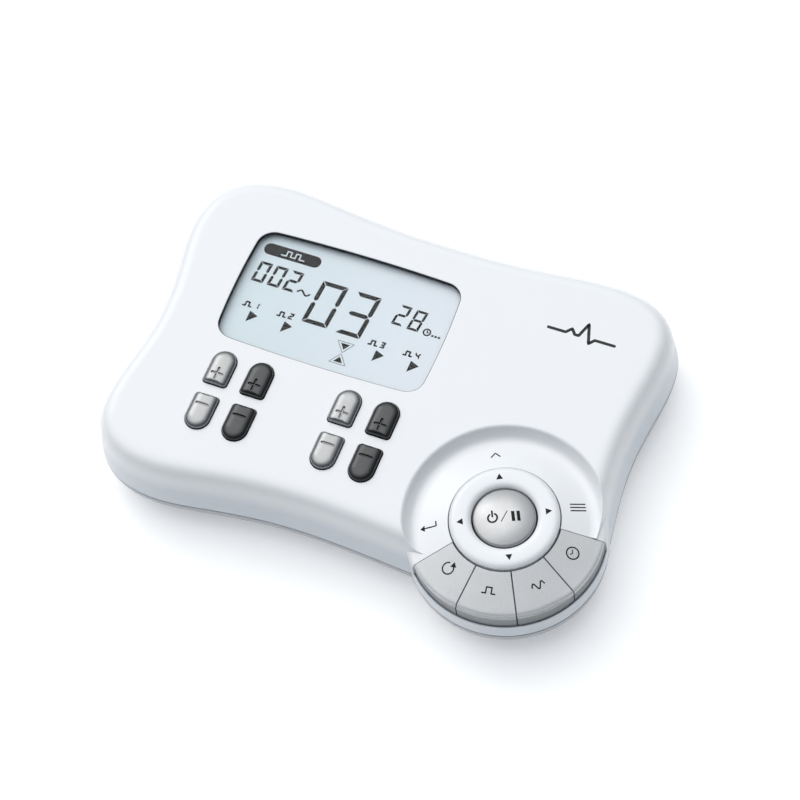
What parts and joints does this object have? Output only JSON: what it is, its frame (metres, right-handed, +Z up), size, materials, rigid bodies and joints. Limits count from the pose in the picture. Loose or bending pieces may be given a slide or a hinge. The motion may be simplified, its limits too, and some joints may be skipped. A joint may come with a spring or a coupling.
{
  "type": "electrotherapy unit",
  "caption": "Desk-top electrical nerve stimulator: low white housing with recessed display, paired plus/minus channel keys and a round control cluster with rocking ring at one corner.",
  "frame": {"origin": "centre of the footprint, on the surface the feet stand on", "axes": "+X to the right along the long side as the user reads the display, +Y to the rear wall with the lead sockets, +Z up"},
  "size_m": [0.1703, 0.125, 0.033],
  "materials": {
    "white_shell": "gloss moulded shell, very light cool white",
    "lower_shell": "fine spark-eroded grain",
    "clear_window": "clear acrylic, polished",
    "lcd_panel": "pale blue-grey reflective display with dark segments",
    "inner_plastic": "plain moulded",
    "contact_rubber": "striped conductive rubber",
    "white_ring": "gloss moulded",
    "satin_grey": "satin grey metallic paint",
    "satin_silver": "satin silver metallic paint with fine grain",
    "silver_key": "bright silver lacquer",
    "dark_key": "dark anthracite lacquer",
    "mat_rubber": "translucent silicone",
    "circuit_board": "green solder mask",
    "ribbon": "grey flat cable",
    "black_component": "black moulded",
    "capacitor_sleeve": "dark blue sleeve",
    "foot_rubber": "soft dark rubber",
    "screw_steel": "zinc plated",
    "socket_plastic": "black moulded",
    "transformer_core": "laminated core and dark tape",
    "contact_metal": "nickel plated",
    "cell_jacket": "plain printed jacket"
  },
  "bodies": {
    "root": {"top_housing": "white_shell", "bottom_housing": "lower_shell", "foot_1": "foot_rubber", "foot_2": "foot_rubber", "foot_3": "foot_rubber", "foot_4": "foot_rubber", "housing_screw_1": "screw_steel", "housing_screw_2": "screw_steel", "housing_screw_3": "screw_steel", "housing_screw_4": "screw_steel", "display_window": "clear_window", "lcd_glass": "lcd_panel", "lcd_frame": "inner_plastic", "lcd_backlight": "inner_plastic", "lcd_connector_strip": "contact_rubber", "channel_key_mat": "mat_rubber", "dial_key_mat": "mat_rubber", "main_board": "circuit_board", "dial_board": "circuit_board", "ribbon_cable": "ribbon", "output_socket_1": "socket_plastic", "output_transformer_1": "transformer_core", "output_socket_2": "socket_plastic", "output_transformer_2": "transformer_core", "output_socket_3": "socket_plastic", "output_transformer_3": "transformer_core", "output_socket_4": "socket_plastic", "output_transformer_4": "transformer_core", "mcu_chip": "black_component", "reservoir_capacitor": "capacitor_sleeve", "buzzer": "black_component", "battery_1": "cell_jacket", "battery_spring_1": "contact_metal", "battery_contact_1": "contact_metal", "battery_2": "cell_jacket", "battery_spring_2": "contact_metal", "battery_contact_2": "contact_metal", "battery_3": "cell_jacket", "battery_spring_3": "contact_metal", "battery_contact_3": "contact_metal"},
    "ch1_plus_key": {"ch1_plus_key": "silver_key"},
    "ch1_minus_key": {"ch1_minus_key": "silver_key"},
    "ch2_plus_key": {"ch2_plus_key": "dark_key"},
    "ch2_minus_key": {"ch2_minus_key": "dark_key"},
    "ch3_plus_key": {"ch3_plus_key": "silver_key"},
    "ch3_minus_key": {"ch3_minus_key": "silver_key"},
    "ch4_plus_key": {"ch4_plus_key": "dark_key"},
    "ch4_minus_key": {"ch4_minus_key": "dark_key"},
    "power_button": {"power_button": "satin_grey"},
    "cycle_key": {"cycle_key": "satin_silver"},
    "pulse_width_key": {"pulse_width_key": "satin_silver"},
    "frequency_key": {"frequency_key": "satin_silver"},
    "timer_key": {"timer_key": "satin_silver"},
    "nav_ring_actuator": {"nav_ring_actuator": "inner_plastic"},
    "nav_ring": {"nav_ring": "white_ring"},
    "battery_door": {"battery_door": "lower_shell"}
  },
  "joints": [
    {"name": "ch1_plus_press", "type": "slide", "parent": "root", "child": "ch1_plus_key", "axis": [0, 0, -1], "range_m": [0, 0.0008], "stiffness_N_per_m": 220},
    {"name": "ch1_minus_press", "type": "slide", "parent": "root", "child": "ch1_minus_key", "axis": [0, 0, -1], "range_m": [0, 0.0008], "stiffness_N_per_m": 220},
    {"name": "ch2_plus_press", "type": "slide", "parent": "root", "child": "ch2_plus_key", "axis": [0, 0, -1], "range_m": [0, 0.0008], "stiffness_N_per_m": 220},
    {"name": "ch2_minus_press", "type": "slide", "parent": "root", "child": "ch2_minus_key", "axis": [0, 0, -1], "range_m": [0, 0.0008], "stiffness_N_per_m": 220},
    {"name": "ch3_plus_press", "type": "slide", "parent": "root", "child": "ch3_plus_key", "axis": [0, 0, -1], "range_m": [0, 0.0008], "stiffness_N_per_m": 220},
    {"name": "ch3_minus_press", "type": "slide", "parent": "root", "child": "ch3_minus_key", "axis": [0, 0, -1], "range_m": [0, 0.0008], "stiffness_N_per_m": 220},
    {"name": "ch4_plus_press", "type": "slide", "parent": "root", "child": "ch4_plus_key", "axis": [0, 0, -1], "range_m": [0, 0.0008], "stiffness_N_per_m": 220},
    {"name": "ch4_minus_press", "type": "slide", "parent": "root", "child": "ch4_minus_key", "axis": [0, 0, -1], "range_m": [0, 0.0008], "stiffness_N_per_m": 220},
    {"name": "power_press", "type": "slide", "parent": "root", "child": "power_button", "axis": [0, 0, -1], "range_m": [0, 0.0006], "stiffness_N_per_m": 300},
    {"name": "cycle_press", "type": "slide", "parent": "root", "child": "cycle_key", "axis": [0, 0, -1], "range_m": [0, 0.0006], "stiffness_N_per_m": 300},
    {"name": "pulse_width_press", "type": "slide", "parent": "root", "child": "pulse_width_key", "axis": [0, 0, -1], "range_m": [0, 0.0006], "stiffness_N_per_m": 300},
    {"name": "frequency_press", "type": "slide", "parent": "root", "child": "frequency_key", "axis": [0, 0, -1], "range_m": [0, 0.0006], "stiffness_N_per_m": 300},
    {"name": "timer_press", "type": "slide", "parent": "root", "child": "timer_key", "axis": [0, 0, -1], "range_m": [0, 0.0006], "stiffness_N_per_m": 300},
    {"name": "nav_rock_up_down", "type": "hinge", "parent": "root", "child": "nav_ring_actuator", "pos_m": [0.054, -0.0308, 0.0257], "axis": [0.891, 0.454, 0], "range_deg": [-2, 2], "stiffness_Nm_per_rad": 0.25},
    {"name": "nav_rock_left_right", "type": "hinge", "parent": "nav_ring_actuator", "child": "nav_ring", "pos_m": [0.054, -0.0308, 0.0257], "axis": [-0.454, 0.891, 0], "range_deg": [-2, 2], "stiffness_Nm_per_rad": 0.25},
    {"name": "battery_door_slide", "type": "slide", "parent": "root", "child": "battery_door", "axis": [-1, 0, 0], "range_m": [0, 0.058]}
  ]
}
